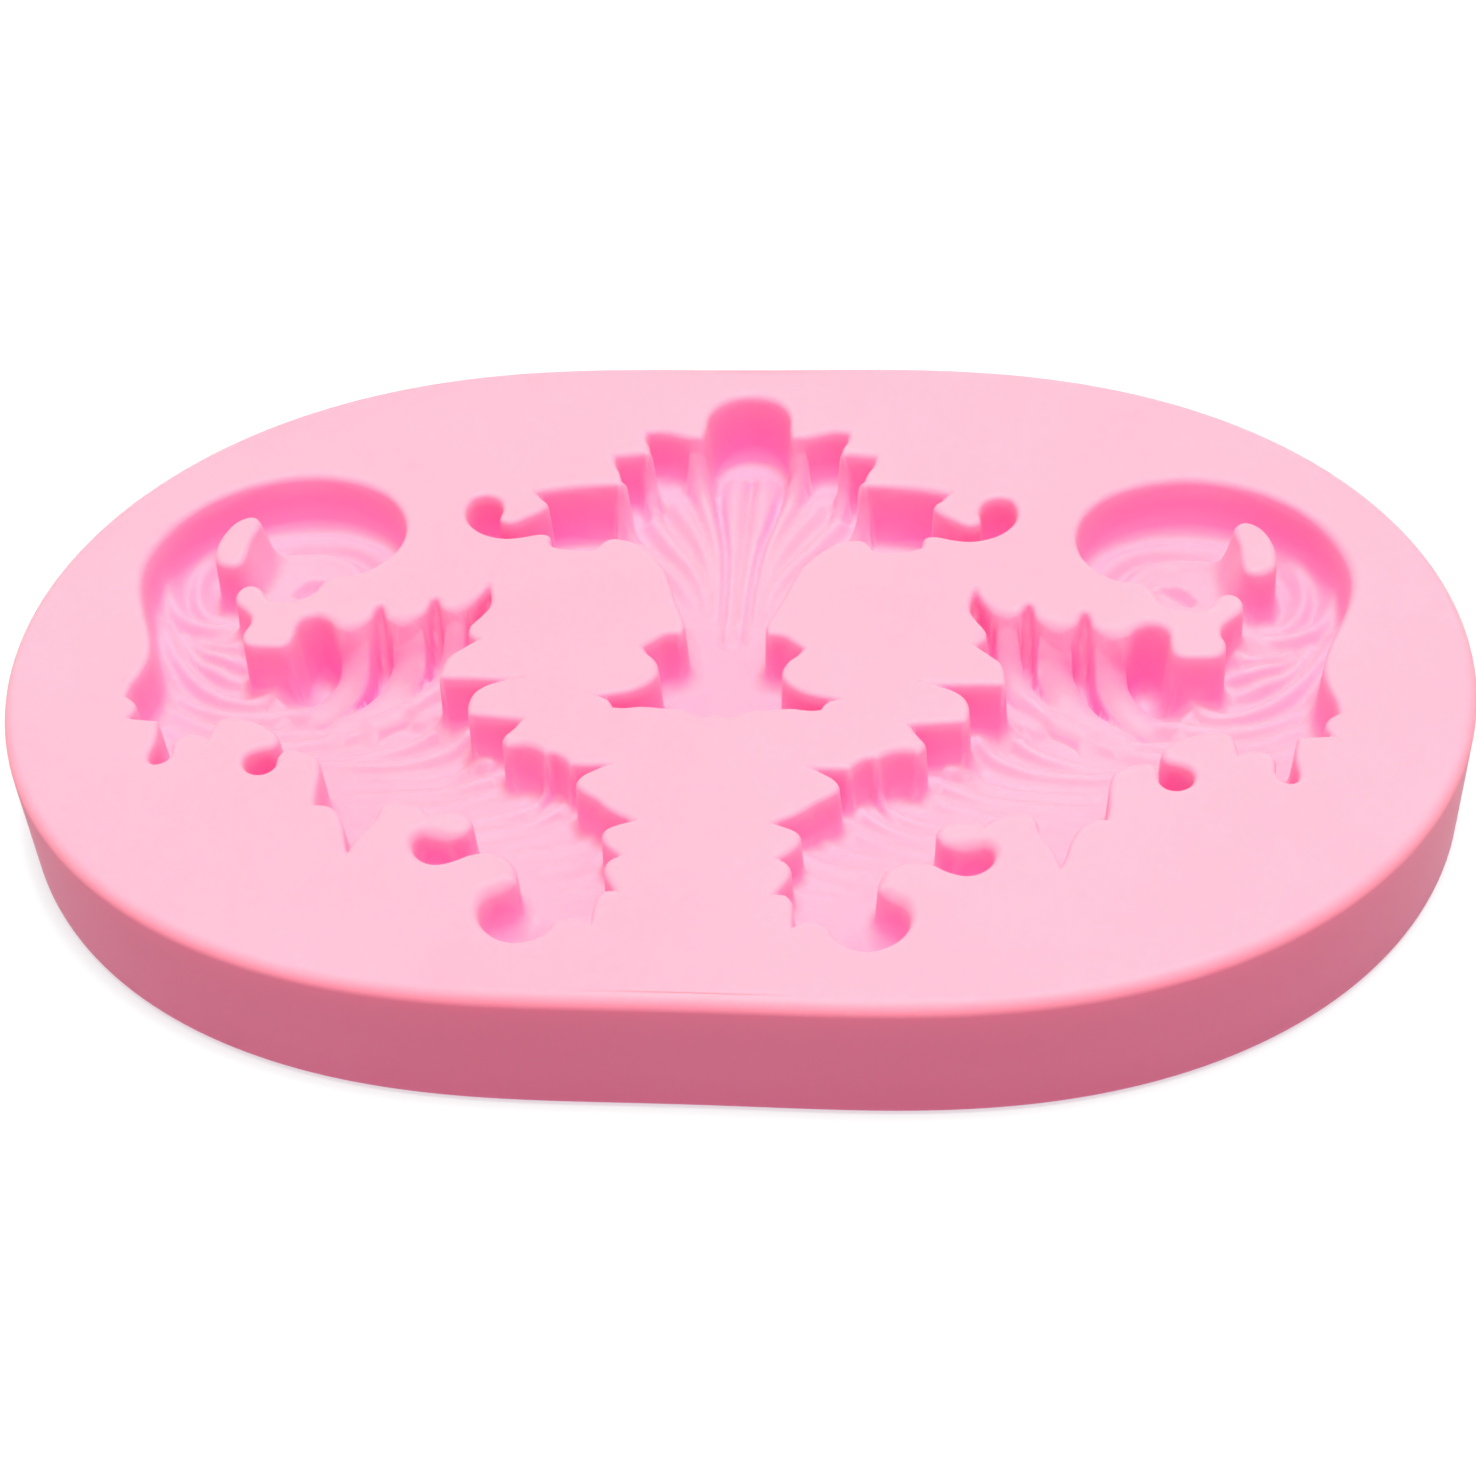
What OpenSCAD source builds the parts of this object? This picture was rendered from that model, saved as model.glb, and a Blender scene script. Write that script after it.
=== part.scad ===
// Flexible casting mould: one oval silicone slab with three open cavities in its top.
// Two of them are leafy scrolls that mirror each other. The third is a palmette between them.
// Origin: centre of the flat underside. +X runs along the slab, +Y towards the palmette's crown.

/* [Slab] */
// Length of the oval slab
slab_length = 120; // [110:1:180]
// Width of the oval slab
slab_width = 79.4; // [76:0.2:120]
// Thickness of the slab
slab_thickness = 11.5; // [10.5:0.1:20]
// How far the oval bulges towards a rectangle
slab_fullness = 0.2; // [0:0.1:1.5]
// Straight pieces round the slab's edge
slab_pieces = 144; // [48:4:180]

/* [Scrolls] */
// Depth of a scroll's curled band
volute_depth = 6.2; // [5:0.1:7]
// Depth of the hollow under a scroll's tall leaf lobes
leaf_depth = 8.2; // [6:0.1:8.5]
// Depth of a scroll's tapering tail
tail_depth = 5.2; // [4.5:0.1:6]
// Depth of the round buds at the ends of a scroll's leaves
bud_depth = 6; // [4.5:0.1:7]

/* [Palmette] */
// Depth of the palmette's fan of petals
fan_depth = 7.2; // [5:0.1:8.5]
// Depth of the palmette's stalk and foot
foot_depth = 5.8; // [4.5:0.1:8]

/* [Curves] */
// Straight pieces between two points of a curved outline
curve_pieces = 3; // [1:1:4]

/* [Hidden] */

SHARP = 0;
SMOOTH = 1;
// How far a cut runs past the face that it opens
clear = 1;
silicone = [0.98, 0.70, 0.80];

// Outlines are drawn for the +X half. Each point is [x, y, kind]: at a SMOOTH point the
// outline is one flowing curve, and at a SHARP point it turns a corner.

// The curled band: outside of the curl, its blunt end, and the eye of the spiral
volute_edge = [
    [48.2, -2.5, SMOOTH], [48.8, 0, SMOOTH], [50, 3, SMOOTH], [51.2, 6.5, SMOOTH],
    [51.6, 9.8, SMOOTH], [51, 13.2, SMOOTH], [49.4, 16.6, SMOOTH], [46.8, 19.5, SMOOTH],
    [43.4, 21.6, SMOOTH], [39.5, 22.6, SMOOTH], [35.6, 22.1, SMOOTH], [32.2, 20.4, SMOOTH],
    [29.9, 17.8, SMOOTH], [28.9, 14.6, SMOOTH], [29.3, 11.7, SMOOTH], [30.5, 9.8, SMOOTH],
    [32.2, 8.4, SMOOTH], [34.3, 7.9, SMOOTH], [35.1, 6.9, SMOOTH], [35.5, 5.6, SMOOTH],
    [36.5, 4.9, SMOOTH], [38.2, 4.6, SMOOTH], [39.4, 4.8, SMOOTH]
];

// The knobbed tongue of slab that stands between the curled band and the leaf
tongue_edge = [
    [40.1, 5.8, SMOOTH], [40.8, 6.6, SMOOTH], [41.7, 6.6, SMOOTH], [42.2, 5.8, SMOOTH],
    [42, 4.7, SMOOTH], [41, 3.6, SMOOTH], [40.3, 2.7, SMOOTH], [40.2, 1.6, SMOOTH],
    [40.5, 0.5, SMOOTH], [40, -0.8, SMOOTH], [38.3, -1.1, SMOOTH], [36.8, -0.9, SMOOTH]
];

// The tall lobes along the leaf's upper side, ending in a claw
lobe_edge = [
    [36.4, 0.4, SMOOTH], [36.4, 1.6, SMOOTH], [35.9, 2.7, SMOOTH], [34.7, 3.2, SMOOTH],
    [33.5, 2.6, SMOOTH], [32.5, 1.8, SMOOTH], [31.3, 1.9, SMOOTH], [30.3, 2.6, SMOOTH],
    [30, 3.9, SMOOTH], [29.5, 4.5, SMOOTH], [29, 3.9, SMOOTH], [28.6, 3, SMOOTH],
    [27.7, 2.6, SMOOTH], [26.6, 2.9, SMOOTH], [25.7, 3.7, SMOOTH], [25.4, 5, SMOOTH],
    [24.9, 5.5, SMOOTH], [24.4, 4.9, SMOOTH], [24, 4.2, SMOOTH], [23, 4.1, SMOOTH],
    [22, 4.8, SMOOTH], [21.2, 6, SMOOTH], [20.6, 7.6, SHARP], [20.1, 6, SMOOTH],
    [20, 4.4, SMOOTH], [20.6, 3, SMOOTH], [21.3, 1.7, SMOOTH], [21.2, 0.7, SMOOTH]
];

// The stepped leaf tips down the side that faces the palmette
step_edge = [
    [20.4, 0, SHARP], [21.6, -1.2, SMOOTH], [22.6, -2.4, SMOOTH], [22.9, -4.8, SHARP],
    [20.5, -4.8, SMOOTH], [18, -4.9, SMOOTH], [16.1, -4.7, SHARP], [17.4, -5.1, SMOOTH],
    [18.8, -5.7, SMOOTH], [19.7, -6.6, SMOOTH], [20, -8, SMOOTH], [19.8, -9.2, SHARP],
    [18, -9.4, SMOOTH], [15.3, -9.7, SHARP], [15.9, -10.8, SMOOTH], [16.6, -12, SMOOTH],
    [16.2, -12.7, SHARP], [15, -12.5, SMOOTH], [13.8, -12.9, SMOOTH], [13, -13.6, SHARP],
    [12.2, -13.6, SMOOTH], [11.3, -14.3, SMOOTH], [10.9, -14.9, SHARP], [9.3, -14.9, SMOOTH],
    [7.6, -14.8, SHARP], [8.8, -15.5, SMOOTH], [9.8, -16.3, SMOOTH], [10.1, -17.2, SMOOTH],
    [9.4, -18, SMOOTH], [8.3, -18.8, SMOOTH], [7.4, -19.7, SMOOTH], [6.4, -20.4, SMOOTH]
];

// The small barbs at the end of the tail
barb_edge = [
    [5.1, -21.1, SHARP], [6.4, -21.6, SMOOTH], [7.3, -22.2, SMOOTH], [7.4, -23.1, SMOOTH],
    [6.8, -24, SMOOTH], [5.8, -24.9, SHARP], [6.6, -25.4, SMOOTH], [6.9, -26.3, SMOOTH],
    [6.4, -27.6, SMOOTH], [5.7, -28.7, SHARP], [6.7, -28.7, SMOOTH], [7.2, -29.6, SMOOTH],
    [7.3, -32.1, SHARP], [8.1, -31.5, SMOOTH], [9.1, -31.5, SMOOTH]
];

// The round bud at the tail's tip, then the bean-shaped bud beside it
bud_edge = [
    [10, -31.9, SMOOTH], [10.4, -32.8, SMOOTH], [11.6, -33.8, SMOOTH], [13.2, -34.1, SMOOTH],
    [14.9, -33.3, SMOOTH], [16, -31.8, SMOOTH], [16.2, -30.2, SMOOTH], [15.7, -28.9, SMOOTH],
    [14.6, -28.2, SMOOTH], [13.7, -27.6, SHARP], [13.9, -26.5, SMOOTH], [14.6, -25.5, SMOOTH],
    [15.9, -25, SMOOTH], [17.4, -25.2, SMOOTH], [18.6, -25.9, SMOOTH], [20, -26.3, SMOOTH],
    [21.3, -25.8, SMOOTH], [22.2, -24.6, SMOOTH], [22.3, -23.3, SMOOTH], [21.6, -22.5, SMOOTH],
    [20.6, -22.6, SMOOTH], [19.4, -22.9, SMOOTH], [18.3, -22.6, SMOOTH], [17.9, -21.7, SMOOTH]
];

// The outer side of the leaf: a hanging leaf tip, a round berry, and the last two barbs
outer_edge = [
    [18.5, -20.9, SMOOTH], [19.6, -20.6, SMOOTH], [20.8, -20.6, SMOOTH], [21.3, -21, SHARP],
    [22, -20.2, SMOOTH], [23.2, -19.8, SMOOTH], [24.4, -19.6, SMOOTH], [25.1, -20.2, SMOOTH],
    [25.3, -21.5, SMOOTH], [26, -22.8, SMOOTH], [26.5, -24, SMOOTH], [26.9, -25.5, SHARP],
    [27.4, -24.2, SMOOTH], [27.8, -22.6, SMOOTH], [28.5, -21, SMOOTH], [29.4, -20.2, SMOOTH],
    [30.6, -20.1, SHARP], [30.8, -18.5, SMOOTH], [30.9, -16.5, SMOOTH], [31.3, -14.9, SMOOTH],
    [32.5, -14.2, SMOOTH], [33.9, -13.9, SMOOTH], [34.4, -14.6, SMOOTH], [34.4, -15.7, SMOOTH],
    [35, -16.6, SMOOTH], [36, -16.8, SMOOTH], [37, -16.2, SMOOTH], [37.4, -15.2, SMOOTH],
    [37.1, -14.2, SMOOTH], [36.2, -13.6, SMOOTH], [35.3, -13.3, SMOOTH], [35, -12.6, SMOOTH],
    [35.6, -11.7, SMOOTH], [36.8, -10.9, SMOOTH], [38.2, -10.3, SMOOTH], [39.5, -10.2, SMOOTH],
    [40.3, -10.6, SMOOTH], [40.6, -12.9, SHARP], [41.1, -12.4, SMOOTH], [42.3, -12.3, SMOOTH],
    [43.3, -13, SMOOTH], [43.2, -14.4, SMOOTH], [43.5, -15.4, SMOOTH], [44.5, -15.8, SMOOTH],
    [45.2, -15.1, SMOOTH], [45.1, -12.8, SMOOTH], [45.4, -10.7, SHARP], [48.1, -10.4, SHARP],
    [47.7, -9.3, SMOOTH], [48, -8.4, SMOOTH], [48.9, -7.7, SHARP], [48.8, -6.2, SMOOTH],
    [48.4, -4.6, SMOOTH]
];

scroll_edge = concat(
    volute_edge, tongue_edge, lobe_edge, step_edge, barb_edge, bud_edge, outer_edge
);

// The pillar that stands free in the curled band
pillar_edge = [
    [43.3, 16.4, SMOOTH], [44.5, 15.6, SMOOTH], [45.2, 13.9, SMOOTH], [45.4, 12.1, SMOOTH],
    [45.1, 10.5, SMOOTH], [44.3, 9.8, SMOOTH], [43.2, 9.8, SMOOTH], [42.8, 11, SMOOTH],
    [42.8, 13.2, SMOOTH], [42.5, 15, SMOOTH], [42.6, 15.9, SMOOTH]
];

// Half of the palmette, from its crown down the +X side to its foot
palmette_edge = [
    [0, 35.1, SMOOTH], [1.9, 34.6, SMOOTH], [3.2, 33.4, SMOOTH], [3.9, 31.6, SMOOTH],
    [4, 29.8, SMOOTH], [4.2, 28.7, SHARP], [5.2, 28.7, SMOOTH], [6.5, 29.2, SMOOTH],
    [7.9, 29.6, SMOOTH], [9.3, 29.4, SHARP], [9.3, 28.1, SMOOTH], [8.9, 27.1, SMOOTH],
    [8.8, 26.1, SHARP], [10.2, 26.1, SMOOTH], [11.9, 25.8, SHARP], [11.7, 24.4, SMOOTH],
    [11.2, 23.2, SMOOTH], [10.8, 21.5, SHARP], [13.5, 21.4, SMOOTH], [16, 21.1, SMOOTH],
    [18.4, 20.4, SHARP], [17.8, 19.4, SMOOTH], [17.1, 18.5, SMOOTH], [17.6, 17.6, SMOOTH],
    [18.8, 16.6, SMOOTH], [20, 15.9, SMOOTH], [20.8, 16.3, SMOOTH], [20.7, 17.6, SMOOTH],
    [21.1, 19, SMOOTH], [22.3, 19.8, SMOOTH], [23.6, 19.5, SMOOTH], [24.2, 18.2, SMOOTH],
    [24.1, 16.5, SMOOTH], [23.2, 15, SMOOTH], [21.9, 14, SMOOTH], [20.2, 13.5, SMOOTH],
    [18.6, 13.7, SMOOTH], [17.2, 14.1, SMOOTH], [16.3, 13.9, SMOOTH], [16.1, 12.7, SMOOTH],
    [15, 12.1, SMOOTH], [13.3, 11.9, SMOOTH], [11.9, 12.1, SMOOTH], [11.4, 13, SMOOTH],
    [10.8, 13.5, SMOOTH], [9.6, 13.4, SMOOTH], [8.3, 12.7, SMOOTH], [7.1, 11.4, SMOOTH],
    [6, 9.7, SMOOTH], [5.2, 7.5, SMOOTH], [4.6, 5.4, SMOOTH], [3.9, 3.4, SMOOTH],
    [3.5, 2, SMOOTH], [3.7, 1.2, SHARP], [5, 1, SMOOTH], [5.9, 0.2, SMOOTH],
    [6.8, -0.6, SHARP], [6.3, -1.5, SMOOTH], [5.6, -2.3, SMOOTH], [5.2, -3.4, SMOOTH],
    [5.3, -4.3, SMOOTH], [6, -5.3, SMOOTH], [7.2, -6.1, SMOOTH], [8.6, -6.5, SMOOTH],
    [9.9, -6.8, SHARP], [8.9, -7.3, SMOOTH], [8.4, -8.2, SHARP], [7.5, -8.3, SMOOTH],
    [6, -8.1, SMOOTH], [4, -8.3, SMOOTH], [2.4, -8.5, SMOOTH], [1.6, -9.1, SMOOTH],
    [0.8, -9.3, SHARP], [0, -9, SMOOTH]
];

// The deeper hollows inside a scroll: [x, y, radius, depth]
scroll_wells = [
    [40, 11, 14, volute_depth],
    [30, -3, 9.5, leaf_depth],
    [22.5, -13, 6.2, 6.4],
    [13.2, -30.8, 3.6, bud_depth],
    [20.4, -24.3, 2.7, bud_depth],
    [35.8, -15.2, 2, bud_depth]
];
palmette_foot_top = 9;

function place_of(p) = [p[0], p[1]];
function unit(v) = v / max(norm(v), 0.001);

// Direction of travel along a closed outline at point i, or of side i -> j at a SHARP point
function heading(edge, i, j) =
    let (n = len(edge))
    edge[i][2] == SHARP
        ? unit(place_of(edge[max(i, j) == n - 1 && min(i, j) == 0 ? 0 : max(i, j)])
            - place_of(edge[max(i, j) == n - 1 && min(i, j) == 0 ? n - 1 : min(i, j)]))
        : unit(place_of(edge[(i + 1) % n]) - place_of(edge[(i + n - 1) % n]));

// Point at share t of the cubic that leaves a along u and reaches b along v
function on_curve(a, b, u, v, t) =
    let (d = norm(b - a))
    (2 * t * t * t - 3 * t * t + 1) * a + (t * t * t - 2 * t * t + t) * d * u
    + (3 * t * t - 2 * t * t * t) * b + (t * t * t - t * t) * d * v;

// Closed outline through every point of edge
function flowing(edge) = [
    for (i = [0:len(edge) - 1], s = [0:curve_pieces - 1])
        let (j = (i + 1) % len(edge))
        on_curve(place_of(edge[i]), place_of(edge[j]), heading(edge, i, j), heading(edge, j, i),
            s / curve_pieces)
];

// The palmette's other half, from the foot back up to the crown
function mirrored(edge) = [
    for (i = [len(edge) - 2:-1:1]) [-edge[i][0], edge[i][1], edge[i][2]]
];

// Radius of the slab's oval at angle a
function slab_radius(a) =
    (slab_length + slab_width) / 4 + slab_fullness
    + (slab_length - slab_width) / 4 * cos(2 * a) - slab_fullness * cos(4 * a);

module slab() {
    linear_extrude(height = slab_thickness)
        polygon([
            for (i = [0:slab_pieces - 1])
                let (a = 360 * i / slab_pieces)
                slab_radius(a) * [cos(a), sin(a)]
        ]);
}

// A cut of the given depth into the slab's top
module pocket(depth) {
    translate([0, 0, slab_thickness - depth])
        linear_extrude(height = depth + clear)
            children();
}

module scroll_shape() {
    difference() {
        polygon(flowing(scroll_edge));
        polygon(flowing(pillar_edge));
    }
}

module scroll_cavity() {
    pocket(tail_depth) scroll_shape();
    for (well = scroll_wells)
        pocket(well[3])
            intersection() {
                scroll_shape();
                translate([well[0], well[1]]) circle(r = well[2], $fn = 48);
            }
}

module palmette_shape() {
    polygon(flowing(concat(palmette_edge, mirrored(palmette_edge))));
}

module palmette_cavity() {
    pocket(foot_depth) palmette_shape();
    pocket(fan_depth)
        intersection() {
            palmette_shape();
            translate([-slab_length / 2, palmette_foot_top]) square([slab_length, slab_width]);
        }
}

module mould_body() {
    color(silicone)
        difference() {
            slab();
            scroll_cavity();
            mirror([1, 0, 0]) scroll_cavity();
            palmette_cavity();
        }
}

mould_body();
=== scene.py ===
import math

import bpy
import numpy as np
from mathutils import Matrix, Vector
from mathutils.geometry import delaunay_2d_cdt


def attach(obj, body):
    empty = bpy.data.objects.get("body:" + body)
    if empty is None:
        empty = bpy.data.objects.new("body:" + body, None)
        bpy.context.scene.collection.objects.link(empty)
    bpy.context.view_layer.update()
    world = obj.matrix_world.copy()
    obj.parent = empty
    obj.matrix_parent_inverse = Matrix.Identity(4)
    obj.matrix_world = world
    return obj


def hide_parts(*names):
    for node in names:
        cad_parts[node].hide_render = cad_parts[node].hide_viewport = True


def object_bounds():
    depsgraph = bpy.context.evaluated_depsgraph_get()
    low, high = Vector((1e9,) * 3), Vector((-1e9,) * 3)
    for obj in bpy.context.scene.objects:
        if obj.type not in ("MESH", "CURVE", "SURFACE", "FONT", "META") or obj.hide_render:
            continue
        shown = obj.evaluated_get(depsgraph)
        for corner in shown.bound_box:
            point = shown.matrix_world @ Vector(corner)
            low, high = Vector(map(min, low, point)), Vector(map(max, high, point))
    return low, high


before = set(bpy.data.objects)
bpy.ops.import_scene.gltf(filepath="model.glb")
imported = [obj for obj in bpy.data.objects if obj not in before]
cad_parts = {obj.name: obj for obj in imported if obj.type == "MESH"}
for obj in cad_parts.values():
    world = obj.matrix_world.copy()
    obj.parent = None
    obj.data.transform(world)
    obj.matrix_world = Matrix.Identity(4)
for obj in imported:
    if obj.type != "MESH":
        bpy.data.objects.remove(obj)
cad_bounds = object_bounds()

# All sizes here are in millimetres, in the row's frame, until a mesh is made in metres.
MM = 0.001
SHARP = 0
SMOOTH = 1

# The curled band: outside of the curl, its blunt end, and the eye of the spiral
VOLUTE_EDGE = [
    (48.2, -2.5, SMOOTH), (48.8, 0, SMOOTH), (50, 3, SMOOTH), (51.2, 6.5, SMOOTH),
    (51.6, 9.8, SMOOTH), (51, 13.2, SMOOTH), (49.4, 16.6, SMOOTH), (46.8, 19.5, SMOOTH),
    (43.4, 21.6, SMOOTH), (39.5, 22.6, SMOOTH), (35.6, 22.1, SMOOTH), (32.2, 20.4, SMOOTH),
    (29.9, 17.8, SMOOTH), (28.9, 14.6, SMOOTH), (29.3, 11.7, SMOOTH), (30.5, 9.8, SMOOTH),
    (32.2, 8.4, SMOOTH), (34.3, 7.9, SMOOTH), (35.1, 6.9, SMOOTH), (35.5, 5.6, SMOOTH),
    (36.5, 4.9, SMOOTH), (38.2, 4.6, SMOOTH), (39.4, 4.8, SMOOTH),
]
# The knobbed tongue of slab that stands between the curled band and the leaf
TONGUE_EDGE = [
    (40.1, 5.8, SMOOTH), (40.8, 6.6, SMOOTH), (41.7, 6.6, SMOOTH), (42.2, 5.8, SMOOTH),
    (42, 4.7, SMOOTH), (41, 3.6, SMOOTH), (40.3, 2.7, SMOOTH), (40.2, 1.6, SMOOTH),
    (40.5, 0.5, SMOOTH), (40, -0.8, SMOOTH), (38.3, -1.1, SMOOTH), (36.8, -0.9, SMOOTH),
]
# The tall lobes along the leaf's upper side, ending in a claw
LOBE_EDGE = [
    (36.4, 0.4, SMOOTH), (36.4, 1.6, SMOOTH), (35.9, 2.7, SMOOTH), (34.7, 3.2, SMOOTH),
    (33.5, 2.6, SMOOTH), (32.5, 1.8, SMOOTH), (31.3, 1.9, SMOOTH), (30.3, 2.6, SMOOTH),
    (30, 3.9, SMOOTH), (29.5, 4.5, SMOOTH), (29, 3.9, SMOOTH), (28.6, 3, SMOOTH),
    (27.7, 2.6, SMOOTH), (26.6, 2.9, SMOOTH), (25.7, 3.7, SMOOTH), (25.4, 5, SMOOTH),
    (24.9, 5.5, SMOOTH), (24.4, 4.9, SMOOTH), (24, 4.2, SMOOTH), (23, 4.1, SMOOTH),
    (22, 4.8, SMOOTH), (21.2, 6, SMOOTH), (20.6, 7.6, SHARP), (20.1, 6, SMOOTH),
    (20, 4.4, SMOOTH), (20.6, 3, SMOOTH), (21.3, 1.7, SMOOTH), (21.2, 0.7, SMOOTH),
]
# The stepped leaf tips down the side that faces the palmette
STEP_EDGE = [
    (20.4, 0, SHARP), (21.6, -1.2, SMOOTH), (22.6, -2.4, SMOOTH), (22.9, -4.8, SHARP),
    (20.5, -4.8, SMOOTH), (18, -4.9, SMOOTH), (16.1, -4.7, SHARP), (17.4, -5.1, SMOOTH),
    (18.8, -5.7, SMOOTH), (19.7, -6.6, SMOOTH), (20, -8, SMOOTH), (19.8, -9.2, SHARP),
    (18, -9.4, SMOOTH), (15.3, -9.7, SHARP), (15.9, -10.8, SMOOTH), (16.6, -12, SMOOTH),
    (16.2, -12.7, SHARP), (15, -12.5, SMOOTH), (13.8, -12.9, SMOOTH), (13, -13.6, SHARP),
    (12.2, -13.6, SMOOTH), (11.3, -14.3, SMOOTH), (10.9, -14.9, SHARP), (9.3, -14.9, SMOOTH),
    (7.6, -14.8, SHARP), (8.8, -15.5, SMOOTH), (9.8, -16.3, SMOOTH), (10.1, -17.2, SMOOTH),
    (9.4, -18, SMOOTH), (8.3, -18.8, SMOOTH), (7.4, -19.7, SMOOTH), (6.4, -20.4, SMOOTH),
]
# The small barbs at the end of the tail
BARB_EDGE = [
    (5.1, -21.1, SHARP), (6.4, -21.6, SMOOTH), (7.3, -22.2, SMOOTH), (7.4, -23.1, SMOOTH),
    (6.8, -24, SMOOTH), (5.8, -24.9, SHARP), (6.6, -25.4, SMOOTH), (6.9, -26.3, SMOOTH),
    (6.4, -27.6, SMOOTH), (5.7, -28.7, SHARP), (6.7, -28.7, SMOOTH), (7.2, -29.6, SMOOTH),
    (7.3, -32.1, SHARP), (8.1, -31.5, SMOOTH), (9.1, -31.5, SMOOTH),
]
# The round bud at the tail's tip, then the bean-shaped bud beside it
BUD_EDGE = [
    (10, -31.9, SMOOTH), (10.4, -32.8, SMOOTH), (11.6, -33.8, SMOOTH), (13.2, -34.1, SMOOTH),
    (14.9, -33.3, SMOOTH), (16, -31.8, SMOOTH), (16.2, -30.2, SMOOTH), (15.7, -28.9, SMOOTH),
    (14.6, -28.2, SMOOTH), (13.7, -27.6, SHARP), (13.9, -26.5, SMOOTH), (14.6, -25.5, SMOOTH),
    (15.9, -25, SMOOTH), (17.4, -25.2, SMOOTH), (18.6, -25.9, SMOOTH), (20, -26.3, SMOOTH),
    (21.3, -25.8, SMOOTH), (22.2, -24.6, SMOOTH), (22.3, -23.3, SMOOTH), (21.6, -22.5, SMOOTH),
    (20.6, -22.6, SMOOTH), (19.4, -22.9, SMOOTH), (18.3, -22.6, SMOOTH), (17.9, -21.7, SMOOTH),
]
# The outer side of the leaf: a hanging leaf tip, a round berry, and the last two barbs
OUTER_EDGE = [
    (18.5, -20.9, SMOOTH), (19.6, -20.6, SMOOTH), (20.8, -20.6, SMOOTH), (21.3, -21, SHARP),
    (22, -20.2, SMOOTH), (23.2, -19.8, SMOOTH), (24.4, -19.6, SMOOTH), (25.1, -20.2, SMOOTH),
    (25.3, -21.5, SMOOTH), (26, -22.8, SMOOTH), (26.5, -24, SMOOTH), (26.9, -25.5, SHARP),
    (27.4, -24.2, SMOOTH), (27.8, -22.6, SMOOTH), (28.5, -21, SMOOTH), (29.4, -20.2, SMOOTH),
    (30.6, -20.1, SHARP), (30.8, -18.5, SMOOTH), (30.9, -16.5, SMOOTH), (31.3, -14.9, SMOOTH),
    (32.5, -14.2, SMOOTH), (33.9, -13.9, SMOOTH), (34.4, -14.6, SMOOTH), (34.4, -15.7, SMOOTH),
    (35, -16.6, SMOOTH), (36, -16.8, SMOOTH), (37, -16.2, SMOOTH), (37.4, -15.2, SMOOTH),
    (37.1, -14.2, SMOOTH), (36.2, -13.6, SMOOTH), (35.3, -13.3, SMOOTH), (35, -12.6, SMOOTH),
    (35.6, -11.7, SMOOTH), (36.8, -10.9, SMOOTH), (38.2, -10.3, SMOOTH), (39.5, -10.2, SMOOTH),
    (40.3, -10.6, SMOOTH), (40.6, -12.9, SHARP), (41.1, -12.4, SMOOTH), (42.3, -12.3, SMOOTH),
    (43.3, -13, SMOOTH), (43.2, -14.4, SMOOTH), (43.5, -15.4, SMOOTH), (44.5, -15.8, SMOOTH),
    (45.2, -15.1, SMOOTH), (45.1, -12.8, SMOOTH), (45.4, -10.7, SHARP), (48.1, -10.4, SHARP),
    (47.7, -9.3, SMOOTH), (48, -8.4, SMOOTH), (48.9, -7.7, SHARP), (48.8, -6.2, SMOOTH),
    (48.4, -4.6, SMOOTH),
]
# The pillar that stands free in the curled band
PILLAR_EDGE = [
    (43.3, 16.4, SMOOTH), (44.5, 15.6, SMOOTH), (45.2, 13.9, SMOOTH), (45.4, 12.1, SMOOTH),
    (45.1, 10.5, SMOOTH), (44.3, 9.8, SMOOTH), (43.2, 9.8, SMOOTH), (42.8, 11, SMOOTH),
    (42.8, 13.2, SMOOTH), (42.5, 15, SMOOTH), (42.6, 15.9, SMOOTH),
]
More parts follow.
